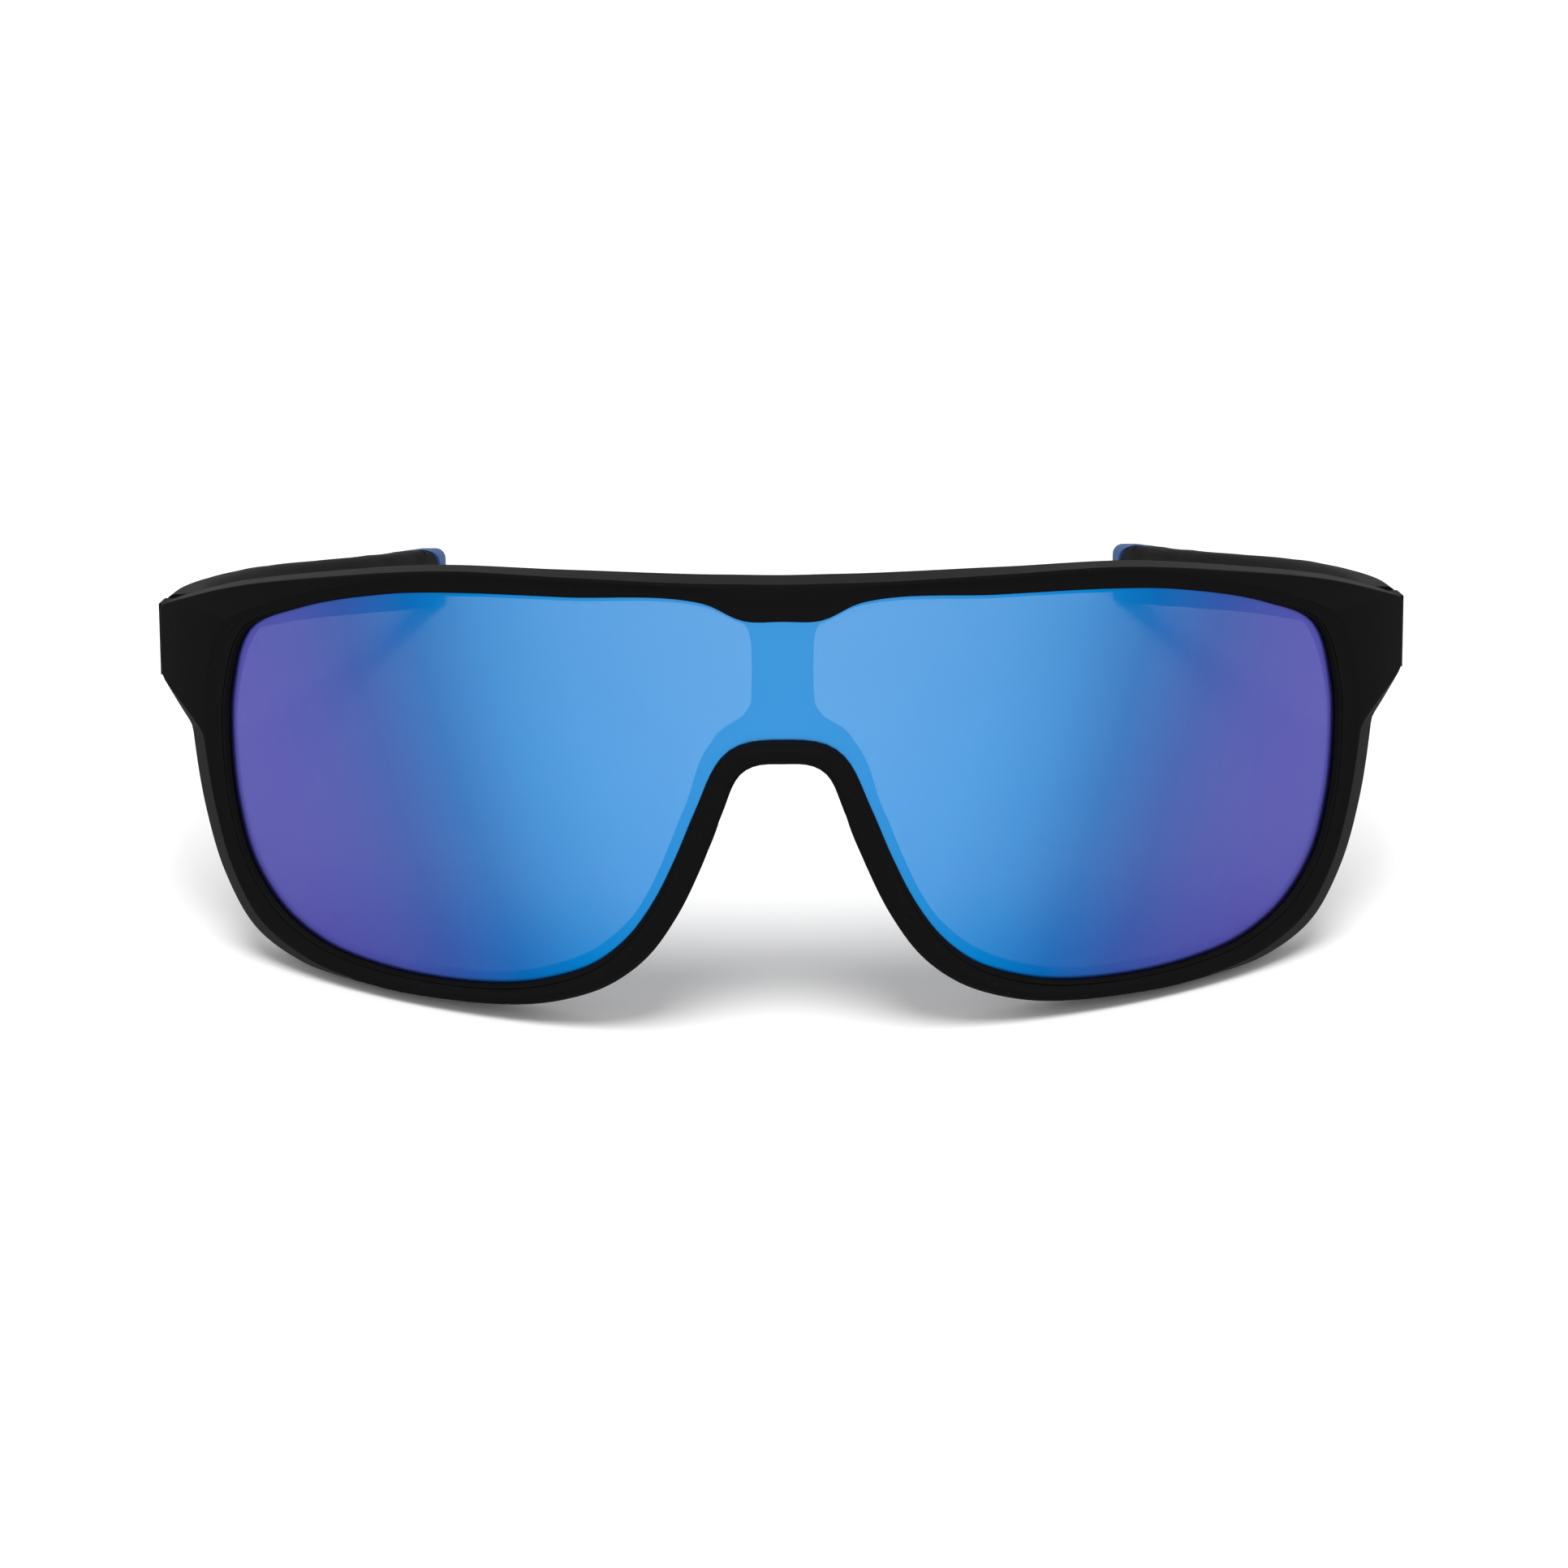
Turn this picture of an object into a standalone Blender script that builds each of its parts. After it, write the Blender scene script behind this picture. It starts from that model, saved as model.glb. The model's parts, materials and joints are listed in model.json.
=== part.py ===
"""Wraparound sport sunglasses: a shield lens in a one-piece front, with two folding arms.

The glasses are designed in the wearer's frame, in millimetres: X to the wearer's left, Y back towards
the head and Z up, with Y = 0 at the middle of the lens and Z = 0 near the top of the arms. They then
stand open on a table, on the two lower rims and the two ear tips. Sizes become metres in the meshes.
"""
import bmesh
import bpy
import numpy as np
from math import cos, pi, radians, sin
from mathutils import Vector

MM = 0.001

# The stance on the table
TABLE_TILT = radians(10.54)         # the arms slope down to the ear tips
TABLE_SHIFT = (0.0, -74.4, 43.12)   # puts the origin under the middle of the glasses, on the table

# The lens, and with it the front, is a piece of a torus
WRAP_RADIUS = 90.0                  # around the face
CROWN_RADIUS = 110.0                # from brow to cheek
LEAN = radians(6.0)                 # the lower edge sits nearer to the face
LENS_MIDDLE = Vector((0.0, 0.0, -17.0))
LENS_THICKNESS = 1.5
LENS_TUCK = 1.1                     # width of lens edge inside the groove
FIT_GAP = 0.2                       # clearance of the lens in its groove
GROOVE_DEPTH = 1.4

# Heights above the lens face
FRONT_FACE = 1.4
BACK_FACE = -4.5
LENS_CELL = 6.5                     # spacing of the lens's mesh
LENS_REACH = (71.5, 26.0)           # the mesh's lines start here, each side of the middle
STATION_STEP = 4.0                  # spacing of the sections round the rim
FINE_STEP = 0.1                     # spacing of the outlines' points before they are thinned

# Outlines are half outlines, in mm along the brow and up the lens face. A point is passed smoothly,
# a JOIN also ends a stretch that both outlines share, and a CORNER is a JOIN with a crease.
SMOOTH, JOIN, CORNER = range(3)
RIM_OUTLINE = (
    (0.0, 24.2, JOIN), (5.0, 24.25, JOIN), (9.0, 24.25, JOIN), (24.0, 24.4, SMOOTH), (38.0, 24.1, JOIN),
    (53.0, 22.0, SMOOTH), (66.5, 19.2, JOIN), (80.4, 14.9, CORNER), (79.5, 7.0, CORNER),
    (73.3, 2.5, CORNER), (71.65, -7.2, SMOOTH), (69.7, -14.1, SMOOTH), (66.05, -19.9, JOIN),
    (59.3, -23.0, SMOOTH), (52.2, -23.9, SMOOTH), (44.0, -24.3, JOIN), (30.0, -23.8, SMOOTH),
    (24.85, -22.7, SMOOTH), (19.5, -20.5, SMOOTH), (14.95, -16.85, JOIN), (11.45, -11.8, SMOOTH),
    (8.75, -6.15, SMOOTH), (6.4, 0.0, JOIN), (4.55, 4.15, JOIN), (3.0, 5.1, SMOOTH), (0.0, 5.3, JOIN))
OPENING_OUTLINE = (
    (0.0, 20.3, JOIN), (4.2, 20.35, JOIN), (8.6, 22.15, JOIN), (24.0, 22.3, SMOOTH), (38.0, 21.8, JOIN),
    (46.0, 20.85, SMOOTH), (58.1, 17.8, JOIN), (65.35, 14.25, JOIN), (67.7, 7.1, JOIN),
    (67.9, 1.0, JOIN), (67.3, -6.1, SMOOTH), (65.65, -12.3, SMOOTH), (61.65, -17.45, JOIN),
    (56.05, -20.45, SMOOTH), (50.2, -21.7, SMOOTH), (40.5, -22.3, JOIN), (31.0, -21.65, SMOOTH),
    (26.3, -20.5, SMOOTH), (21.4, -18.45, SMOOTH), (17.3, -15.0, JOIN), (14.2, -10.6, SMOOTH),
    (11.7, -5.55, SMOOTH), (9.4, 0.0, JOIN), (6.6, 5.8, JOIN), (4.6, 7.2, SMOOTH), (0.0, 7.75, JOIN))

# What changes along the rim, one row for each join: how far the back lip reaches in over the lens,
# how far it flares out again to its back edge, the width and the drop of the bevel on the outer
# edge, and how far the back edge drops
RIM_JOINS = (
    (0.4, 0.0, 0.35, 0.25, -0.4), (0.4, 0.0, 0.35, 0.25, -0.4), (0.4, 0.0, 0.35, 0.25, -0.4),
    (0.4, 0.0, 0.35, 0.25, -0.3), (0.3, 0.0, 0.3, 0.3, 0.3), (-0.1, 0.2, 0.7, 0.4, 0.5),
    (-0.8, 0.4, 1.3, 0.4, 0.0), (-0.8, 1.0, 1.7, 0.45, 0.0), (-0.8, 1.3, 1.4, 0.5, 0.0),
    (0.25, 0.75, 0.5, 0.5, 0.0), (0.85, 0.3, 0.6, 0.5, 0.0), (1.25, 0.2, 0.5, 0.4, 0.0),
    (1.7, 0.2, 0.5, 0.4, 0.0), (1.5, 0.2, 0.5, 0.4, 0.0))
LIP_EDGE = 0.3                      # rounding of the edge towards the lens

# The post behind the lens: half widths from the nose arch up to the brow
POST_HALF_WIDTHS = ((6.6, 8.0), (8.0, 6.9), (9.4, 4.7), (11.0, 3.6), (13.0, 3.4), (17.0, 3.4),
                    (19.2, 3.7), (20.4, 4.7), (21.2, 7.0))
POST_FRONT = -1.8

# Hinges, on the wearer's left; the right side mirrors them
BUTT = 38.5                         # the end pieces end here, and the arms begin
JOINT_GAP = 0.3
HINGE = Vector((64.4, 38.65, -2.8))
INNER_WALL = 66.2
OUTER_WALL = 70.6
END_PIECE_TOP = 1.2
END_PIECE_FOOT = -6.9
BARREL_RADIUS = 1.6
BARREL_SIDES = 24
SCREW_HOLE_RADIUS = 0.9
MIDDLE_KNUCKLE = 1.1                # half heights from the hinge's middle
OUTER_KNUCKLES = (1.3, 3.4)
LEAF_THICKNESS = 1.0
LEAF_GAP = 0.3
FOOT_ALONG = (73.4, 78.6)           # the front leaf's foot, in the front's own coordinates
NECK_FOOT = 77.4                    # where the necks of its knuckles rise from it
NECK_FOOT_HALF = 0.75
NECK_HALF = 0.95
FOOT_UP = (7.0, 13.2)
FOOT_SCREWS = ((75.0, 8.7), (75.0, 11.6))
PLATE_BACK = (41.0, 50.5)           # the temple leaf's plate, along the arm
PLATE_HALF_HEIGHT = 2.4
PLATE_SCREWS = (44.6, 48.4)
LEAF_SCREW_RADIUS = 0.6
LEAF_HOLE_RADIUS = 0.85
LEAF_SCREW_HEAD = 1.1
LEAF_SCREW_HEAD_HEIGHT = 0.55
LEAF_SCREW_BITE = 1.9               # how deep a leaf screw goes into the plastic
SLOT_WIDTH = 0.35
HINGE_SCREW_RADIUS = 0.7
HINGE_SCREW_HEAD = 1.35
HINGE_SCREW_HEAD_HEIGHT = 0.7
HINGE_SCREW_END = 0.4               # how far its end shows below the lowest knuckle
SEAT_GAP = 0.2                      # under the screws' heads
NECK_SINK = 0.85                    # how much of the foot's thickness the necks sink into
TONGUE_GAP_ROOM = 0.6               # the pocket's room above the tongue where it starts
HOLE_REACH = 4.0                    # drills through the leaves start 3 mm off and go this deep
SCREW_ROOM = 1.3                    # from the start of a drill to the plastic, and a gap

# Arms: distance back, distance out to the middle, top, height and thickness
ARM_STATIONS = (
    (38.8, 68.4, 1.6, 8.5, 4.4), (50.0, 68.6, 1.25, 8.2, 4.0), (60.0, 67.7, 0.85, 7.9, 3.4),
    (72.0, 66.2, 0.15, 7.6, 3.0), (86.0, 64.2, -0.95, 7.5, 3.0), (106.0, 60.3, -2.75, 7.5, 3.0),
    (128.0, 55.5, -4.7, 7.8, 3.4), (142.0, 52.5, -5.9, 8.1, 3.9), (150.0, 50.7, -6.5, 8.3, 4.2),
    (157.5, 49.2, -7.1, 8.3, 4.2))
ARM_FLAT_END = 50.0                 # up to here the outer face is flat
TIP_START = 146.0
TIP_END = 157.5
TIP_NOSE = ((-7.0, 0.0), (-3.0, 0.1), (-1.2, 0.6), (-0.3, 1.5), (0.0, 2.3))   # rounding of its end
TONGUE_THICKNESS = 1.8
TONGUE_SETBACK = 0.1                # below the arm's inner face
TONGUE_NOSE = ((TIP_START, 0.15), (147.2, 0.2), (149.6, 0.6), (151.2, 1.4), (152.2, 2.8))   # its end
TONGUE_GAP = 0.25
CORNER_RADIUS = 1.2
FOLD_SIDE = {"left": 1, "right": -1}

# Nose pads, along the nose flanks: along the brow, up the face, half width, thickness
PAD_STATIONS = (
    (7.5, 1.3, 0.7, 0.9), (7.9, 0.0, 1.2, 1.8), (9.0, -3.2, 1.5, 2.6), (10.3, -6.3, 1.6, 3.0),
    (12.0, -9.9, 1.6, 2.8), (13.8, -12.9, 1.3, 2.0), (14.6, -14.1, 0.7, 0.9))
PAD_FRONT = -4.8
PEG_PLACE = (10.3, -6.3)
PEG_RADIUS = 1.0
PEG_LENGTH = 1.2
PEG_ROOM = 1.2                      # from the start of the drill to the peg's end, and a gap
PAD_SIDES = 12

COLOURS = {                          # base colour, roughness, metallic
    "frame_black": ((0.012, 0.012, 0.013), 0.6, 0.0),
    "lens_blue": ((0.05, 0.3, 0.72), 0.08, 0.6),
    "pad_black": ((0.01, 0.01, 0.011), 0.8, 0.0),
    "tip_blue": ((0.045, 0.105, 0.24), 0.55, 0.0),
    "hinge_steel": ((0.5, 0.5, 0.52), 0.3, 1.0),
}


# ---- curves and outlines ----

def catmull(before, start, end, after, t):
    """A point of the smooth curve from start to end, which heads as its neighbours say."""
    lean_out = (end - before) / 2
    lean_in = (after - start) / 2
    return ((2 * t**3 - 3 * t**2 + 1) * start + (t**3 - 2 * t**2 + t) * lean_out
            + (3 * t**2 - 2 * t**3) * end + (t**3 - t**2) * lean_in)


def track(rows, places):
    """Reads a table of stations at the given first values, smoothly in all its other columns."""
    rows = np.array(rows)
    result = []
    for place in places:
        i = int(np.clip(np.searchsorted(rows[:, 0], place) - 1, 0, len(rows) - 2))
        before = rows[max(i - 1, 0)]
        after = rows[min(i + 2, len(rows) - 1)]
        t = (place - rows[i, 0]) / (rows[i + 1, 0] - rows[i, 0])
        point = catmull(before, rows[i], rows[i + 1], after, t)
        point[0] = place
        result.append(point)
    return result


def dense_loop(half):
    """Mirrors a half outline and passes a fine curve through it. Returns it and the joins' places."""
    points = list(half) + [(-u, v, kind) for u, v, kind in reversed(half[1:-1])]
    count = len(points)
    fine = []
    joins = []
    for i, (u, v, kind) in enumerate(points):
        start = np.array((u, v))
        end = np.array(points[(i + 1) % count][:2])
        before = np.array(points[i - 1][:2])
        after = np.array(points[(i + 2) % count][:2])
        if kind == CORNER:
            before = 2 * start - end
        if points[(i + 1) % count][2] == CORNER:
            after = 2 * end - start
        if kind != SMOOTH:
            joins.append(len(fine))
        span = np.linalg.norm(end - start)
        steps = max(2, int(span / FINE_STEP))
        before = start + (before - start) * span / np.linalg.norm(before - start)
        after = end + (after - end) * span / np.linalg.norm(after - end)
        fine += [catmull(before, start, end, after, k / steps) for k in range(steps)]
    return np.array(fine), joins


def softened(loop, reach=5):
    """Rounds a fine loop's creases by averaging each point with its neighbours."""
    return sum(np.roll(loop, k, axis=0) for k in range(-reach, reach + 1)) / (2 * reach + 1)


def resampled(loop, joins, counts):
    """Spaces points evenly along each stretch of a loop, as many as counts says."""
    points = []
    for k, count in enumerate(counts):
        end = joins[k + 1] if k + 1 < len(joins) else len(loop)
        stretch = np.take(loop, range(joins[k], end + 1), axis=0, mode="wrap")
        lengths = np.concatenate(([0.0], np.cumsum(np.linalg.norm(np.diff(stretch, axis=0), axis=1))))
        for target in np.linspace(0, lengths[-1], count, endpoint=False):
            points.append([np.interp(target, lengths, stretch[:, axis]) for axis in range(2)])
    return np.array(points)


def rim_stations(step):
    """Matching points of the outer outline and the opening, and the rim's changing widths."""
    outer, outer_joins = dense_loop(RIM_OUTLINE)
    opening, opening_joins = dense_loop(OPENING_OUTLINE)
    ends = outer_joins[1:] + [len(outer)]
    counts = [max(2, round((end - start) * FINE_STEP / step)) for start, end in zip(outer_joins, ends)]
    widths = list(RIM_JOINS) + list(RIM_JOINS[-2:0:-1])
    rows = []
    for k, count in enumerate(counts):
        start = np.array(widths[k])
        change = np.array(widths[(k + 1) % len(widths)]) - start
        rows += [start + change * i / count for i in range(count)]
    edge = resampled(softened(outer), outer_joins, counts)
    hole = resampled(softened(opening), opening_joins, counts)
    return edge, hole, rows


# ---- the front's own coordinates ----

def wrap(along, up, out):
    """A point given along the brow, up the lens face and out of it."""
    turn = along / WRAP_RADIUS
    rise = up / CROWN_RADIUS
    reach = WRAP_RADIUS - CROWN_RADIUS + (CROWN_RADIUS + out) * cos(rise)
    back = WRAP_RADIUS - reach * cos(turn)
    height = (CROWN_RADIUS + out) * sin(rise)
    return LENS_MIDDLE + Vector((reach * sin(turn),
                                 back * cos(LEAN) - height * sin(LEAN),
                                 back * sin(LEAN) + height * cos(LEAN)))


def straight_back(along, up, start, end):
    """Where a wall that starts at a height over the lens and runs straight back meets another."""
    point = wrap(along, up, start)
    turn = along / WRAP_RADIUS
    rise = up / CROWN_RADIUS - LEAN
    point.y += (start - end) / (cos(turn) * cos(rise))
    point.y = min(point.y, BUTT)
    return point


# ---- meshes and solids ----

def material(name):
    """The material of that name, made when it's first asked for."""
    found = bpy.data.materials.get(name)
    if found:
        return found
    colour, roughness, metallic = COLOURS[name]
    made = bpy.data.materials.new(name)
    made.use_nodes = True
    shader = made.node_tree.nodes["Principled BSDF"]
    shader.inputs["Base Color"].default_value = (*colour, 1.0)
    shader.inputs["Roughness"].default_value = roughness
    shader.inputs["Metallic"].default_value = metallic
    made.diffuse_color = (*colour, 1.0)
    return made


def solid(name, points, faces, origin=Vector((0, 0, 0))):
    """An object from points in millimetres, with its own origin."""
    bm = bmesh.new()
    verts = [bm.verts.new((Vector(p) - origin) * MM) for p in points]
    for face in faces:
        bm.faces.new([verts[i] for i in face])
    bmesh.ops.recalc_face_normals(bm, faces=bm.faces)
    mesh = bpy.data.meshes.new(name)
    bm.to_mesh(mesh)
    bm.free()
    made = bpy.data.objects.new(name, mesh)
    made.location = origin * MM
    bpy.context.collection.objects.link(made)
    return made


def loft(name, rings, closed=False, origin=Vector((0, 0, 0))):
    """Skins a list of equal rings; an open loft gets end caps, a closed one runs round."""
    count = len(rings[0])
    points = [point for ring in rings for point in ring]
    faces = []
    last = len(rings) if closed else len(rings) - 1
    for i in range(last):
        here = i * count
        there = (i + 1) % len(rings) * count
        for k in range(count):
            after = (k + 1) % count
            faces.append((here + k, here + after, there + after, there + k))
    if not closed:
        faces.append(tuple(range(count)))
        faces.append(tuple(range(len(points) - count, len(points))))
    return solid(name, points, faces, origin)


def boolean(target, tool, operation):
    """Applies a Boolean with another solid, which is then removed."""
    bpy.context.view_layer.update()
    modifier = target.modifiers.new("boolean", "BOOLEAN")
    modifier.operation = operation
    modifier.solver = "EXACT"
    modifier.object = tool
    graph = bpy.context.evaluated_depsgraph_get()
    result = bpy.data.meshes.new_from_object(target.evaluated_get(graph))
    target.modifiers.clear()
    target.data = result
    bpy.data.objects.remove(tool)
    return target


def finish(made, colour, parent):
    """Gives a solid its material and shading, and hangs it on an empty without moving it."""
    made.data.materials.clear()
    made.data.materials.append(material(colour))
    made.data.shade_smooth()
    made.data.set_sharp_from_angle(angle=radians(35))
    made.parent = parent
    made.location = made.location - total_offset(parent)
    return made


def total_offset(empty):
    """How far an empty's origin lies from the glasses' own."""
    return empty.location if empty.parent else Vector((0, 0, 0))


def circle(centre, radius, axis, sides):
    """A ring of points about a centre, square to an axis."""
    axis = axis.normalized()
    across = axis.orthogonal().normalized()
    other = axis.cross(across)
    turns = [2 * pi * k / sides for k in range(sides)]
    return [centre + across * radius * cos(turn) + other * radius * sin(turn) for turn in turns]


def turned(name, base, axis, steps, sides=20, origin=Vector((0, 0, 0))):
    """A round solid: steps are (distance along the axis, radius) from its base."""
    axis = axis.normalized()
    rings = [circle(base + axis * along, radius, axis, sides) for along, radius in steps]
    return loft(name, rings, origin=origin)


def drill(target, base, axis, radius, depth, sides=16):
    """Cuts a round hole from a base point along an axis."""
    boolean(target, turned("drill", base, axis, ((0.0, radius), (depth, radius)), sides), "DIFFERENCE")


def block(name, low, high):
    """A box between two corners."""
    rings = []
    for y in (low[1], high[1]):
        rings.append([Vector((x, y, z)) for x, z in
                      ((low[0], low[2]), (high[0], low[2]), (high[0], high[2]), (low[0], high[2]))])
    return loft(name, rings)


def mirrored(point, side):
    """A point of the wearer's left side, moved to the side given by its sign."""
    return Vector((point[0] * side, point[1], point[2]))


# ---- the front ----

def rim_section(edge, hole, lip, flare, bevel, bevel_drop, back_drop):
    """The rim's section at one station, from the lens opening round the groove to the outer edge."""
    direction = (edge - hole) / np.linalg.norm(edge - hole)
    groove = hole + direction * GROOVE_DEPTH
    window = hole - direction * lip
    groove_back = -LENS_THICKNESS - FIT_GAP
    rear_inner = straight_back(*(window + direction * flare), groove_back, BACK_FACE)
    rear_outer = straight_back(*edge, FRONT_FACE - bevel_drop, BACK_FACE)
    rear_outer.z -= back_drop
    return [
        wrap(*(hole + direction * LIP_EDGE), FRONT_FACE),
        wrap(*hole, FRONT_FACE - LIP_EDGE),
        wrap(*hole, FIT_GAP),
        wrap(*groove, FIT_GAP),
        wrap(*groove, groove_back),
        wrap(*window, groove_back),
        rear_inner,
        rear_outer,
        wrap(*edge, FRONT_FACE - bevel_drop),
        wrap(*(edge - direction * bevel), FRONT_FACE),
    ]


def post():
    """The post behind the lens, from the nose arch up to the brow."""
    heights = np.linspace(POST_HALF_WIDTHS[0][0], POST_HALF_WIDTHS[-1][0], 13)
    rings = []
    for up, half in track(POST_HALF_WIDTHS, heights):
        across = np.linspace(-half, half, 7)
        front = [wrap(u, up, POST_FRONT) for u in across]
        back = [wrap(u, up, BACK_FACE) for u in across[::-1]]
        rings.append(front + back)
    return loft("post", rings)


def end_piece(side):
    """The block that takes an end of the front back to its arm."""
    low = (min(INNER_WALL * side, OUTER_WALL * side), BUTT - 5.0, END_PIECE_FOOT)
    high = (max(INNER_WALL * side, OUTER_WALL * side), BUTT, END_PIECE_TOP)
    return block("end piece", low, high)


def face_normal(along, up, side):
    """The direction out of the lens face at a place, on either side."""
    return mirrored(wrap(along, up, 1.0) - wrap(along, up, 0.0), side)


def front_frame(parent):
    """The rim, with its post, its end pieces and the holes for the leaf screws and the pads."""
    edge, hole, rows = rim_stations(STATION_STEP)
    sections = [rim_section(e, h, *row) for e, h, row in zip(edge, hole, rows)]
    frame = loft("front_frame", sections, closed=True)
    boolean(frame, post(), "UNION")
    for side in FOLD_SIDE.values():
        boolean(frame, end_piece(side), "UNION")
        for place in FOOT_SCREWS:
            base = mirrored(wrap(*place, BACK_FACE - 1.0), side)
            drill(frame, base, face_normal(*place, side), LEAF_HOLE_RADIUS,
                  LEAF_SCREW_BITE + SCREW_ROOM)
        base = mirrored(wrap(*PEG_PLACE, BACK_FACE - 1.0), side)
        drill(frame, base, face_normal(*PEG_PLACE, side), PEG_RADIUS + FIT_GAP, PEG_LENGTH + PEG_ROOM)
    return finish(frame, "frame_black", parent)


def shield_lens(parent):
    """A sheet with the opening's outline and a margin, cut into cells and curved to the torus."""
    edge, hole, _ = rim_stations(STATION_STEP)
    bm = bmesh.new()
    outline = []
    for e, h in zip(edge, hole):
        place = h + (e - h) / np.linalg.norm(e - h) * LENS_TUCK
        outline.append(bm.verts.new((*place, 0.0)))
    bm.faces.new(outline)
    for axis, reach in ((Vector((1, 0, 0)), LENS_REACH[0]), (Vector((0, 1, 0)), LENS_REACH[1])):
        for cut in np.arange(-reach, reach, LENS_CELL):
            everything = list(bm.verts) + list(bm.edges) + list(bm.faces)
            bmesh.ops.bisect_plane(bm, geom=everything, plane_co=axis * cut, plane_no=axis)
    back = bmesh.ops.extrude_face_region(bm, geom=list(bm.faces))
    for vert in back["geom"]:
        if isinstance(vert, bmesh.types.BMVert):
            vert.co.z = -LENS_THICKNESS
    for vert in bm.verts:
        vert.co = wrap(*vert.co) * MM
    bmesh.ops.recalc_face_normals(bm, faces=bm.faces)
    mesh = bpy.data.meshes.new("shield_lens")
    bm.to_mesh(mesh)
    bm.free()
    lens = bpy.data.objects.new("shield_lens", mesh)
    bpy.context.collection.objects.link(lens)
    return finish(lens, "lens_blue", parent)


def nose_pad(name, side, parent):
    """A soft pad that lies along a nose flank, with a peg that presses into the rim."""
    places = np.array(PAD_STATIONS)[:, :2]
    headings = np.gradient(places, axis=0)
    rings = []
    for (along, up, half, thick), heading in zip(PAD_STATIONS, headings):
        across = np.array((-heading[1], heading[0])) / np.linalg.norm(heading)
        ring = []
        for k in range(PAD_SIDES):
            turn = 2 * pi * k / PAD_SIDES
            offset = across * half * cos(turn)
            depth = PAD_FRONT - thick / 2 + thick / 2 * sin(turn)
            ring.append(mirrored(wrap(along + offset[0], up + offset[1], depth), side))
        rings.append(ring)
    pad = loft(name, rings)
    out = face_normal(*PEG_PLACE, side)
    base = mirrored(wrap(*PEG_PLACE, PAD_FRONT - 1.0), side)
    peg_steps = ((0.0, PEG_RADIUS), (PEG_LENGTH + 1.0, PEG_RADIUS))
    boolean(pad, turned("peg", base, out, peg_steps, 16), "UNION")
    return finish(pad, "pad_black", parent)


# ---- the arms ----

def arm_ring(row, inner, outer, margin=0.0):
    """A rounded section across the arm, between two depths from its inner face."""
    back, out, top, height, thick = row
    middle = Vector((out - thick / 2 + (inner + outer) / 2, back, top - height / 2))
    half_height = height / 2 - margin
    half_width = (outer - inner) / 2
    radius = min(CORNER_RADIUS, half_width * 0.8)
    ring = []
    for quarter, (sx, sz) in enumerate(((1, 1), (-1, 1), (-1, -1), (1, -1))):
        for step in range(3):
            turn = pi / 2 * (quarter + step / 2)
            x = sx * (half_width - radius) + radius * cos(turn)
            z = sz * (half_height - radius) + radius * sin(turn)
            ring.append(middle + Vector((x, 0, z)))
    return ring


def temple_arm(name, side, parent, origin):
    """A black arm whose inner half runs on as a tongue into the ear tip."""
    places = [ARM_STATIONS[0][0], *np.linspace(ARM_FLAT_END, TIP_START, 14)]
    rings = [arm_ring(row, 0.0, row[4]) for row in track(ARM_STATIONS, places)]
    for back, margin in TONGUE_NOSE:
        row = track(ARM_STATIONS, [back])[0]
        rings.append(arm_ring(row, TONGUE_SETBACK, TONGUE_THICKNESS, margin))
    rings = [[mirrored(point, side) for point in ring] for ring in rings]
    arm = loft(name, rings, origin=origin)
    for back in PLATE_SCREWS:
        base = mirrored((INNER_WALL - 1.0, back, HINGE.z), side)
        drill(arm, base, Vector((side, 0, 0)), LEAF_HOLE_RADIUS, LEAF_SCREW_BITE + SCREW_ROOM)
    return finish(arm, "frame_black", parent)


def ear_tip(name, side, parent, origin):
    """The soft blue end of an arm, cut away on its inner side for the tongue."""
    rings = []
    ends = [(TIP_START + JOINT_GAP, 0.0)] + [(TIP_END + back, margin) for back, margin in TIP_NOSE]
    for back, margin in ends:
        row = track(ARM_STATIONS, [back])[0]
        inset = margin * 0.6
        rings.append(arm_ring(row, inset, row[4] - inset, margin))
    tip = loft(name, [[mirrored(point, side) for point in ring] for ring in rings], origin=origin)
    pocket = []
    for back, margin in ((TIP_START - 1.0, 0.0), *TONGUE_NOSE[1:]):
        row = track(ARM_STATIONS, [back + TONGUE_GAP])[0]
        open_above = TONGUE_GAP_ROOM if margin < 0.3 else TONGUE_GAP
        ring = arm_ring(row, -2.0, TONGUE_THICKNESS + TONGUE_GAP, margin - open_above)
        pocket.append([mirrored(point, side) for point in ring])
    boolean(tip, loft("pocket", pocket), "DIFFERENCE")
    return finish(tip, "tip_blue", parent)


# ---- the hinges ----

def knuckle(side, low, high):
    """A barrel piece about the hinge axis, between two heights from the hinge's middle."""
    base = mirrored(HINGE, side) + Vector((0, 0, low))
    steps = ((0.0, BARREL_RADIUS), (high - low, BARREL_RADIUS))
    return turned("knuckle", base, Vector((0, 0, 1)), steps, BARREL_SIDES)


def bore_barrel(leaf, side):
    """Cuts the clearance hole along the hinge axis."""
    reach = OUTER_KNUCKLES[1] + 1.0
    base = mirrored(HINGE, side) - Vector((0, 0, reach))
    drill(leaf, base, Vector((0, 0, 1)), SCREW_HOLE_RADIUS, 2 * reach, 20)


def foot(side):
    """The front leaf's foot: a plate curved to lie on the back of the end piece."""
    rings = []
    for along in np.linspace(*FOOT_ALONG, 4):
        ring = []
        for up in np.linspace(*FOOT_UP, 3):
            ring.append(mirrored(wrap(along, up, BACK_FACE - LEAF_GAP), side))
        for up in np.linspace(FOOT_UP[1], FOOT_UP[0], 3):
            ring.append(mirrored(wrap(along, up, BACK_FACE - LEAF_GAP - LEAF_THICKNESS), side))
        rings.append(ring)
    return loft("foot", rings)


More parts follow.
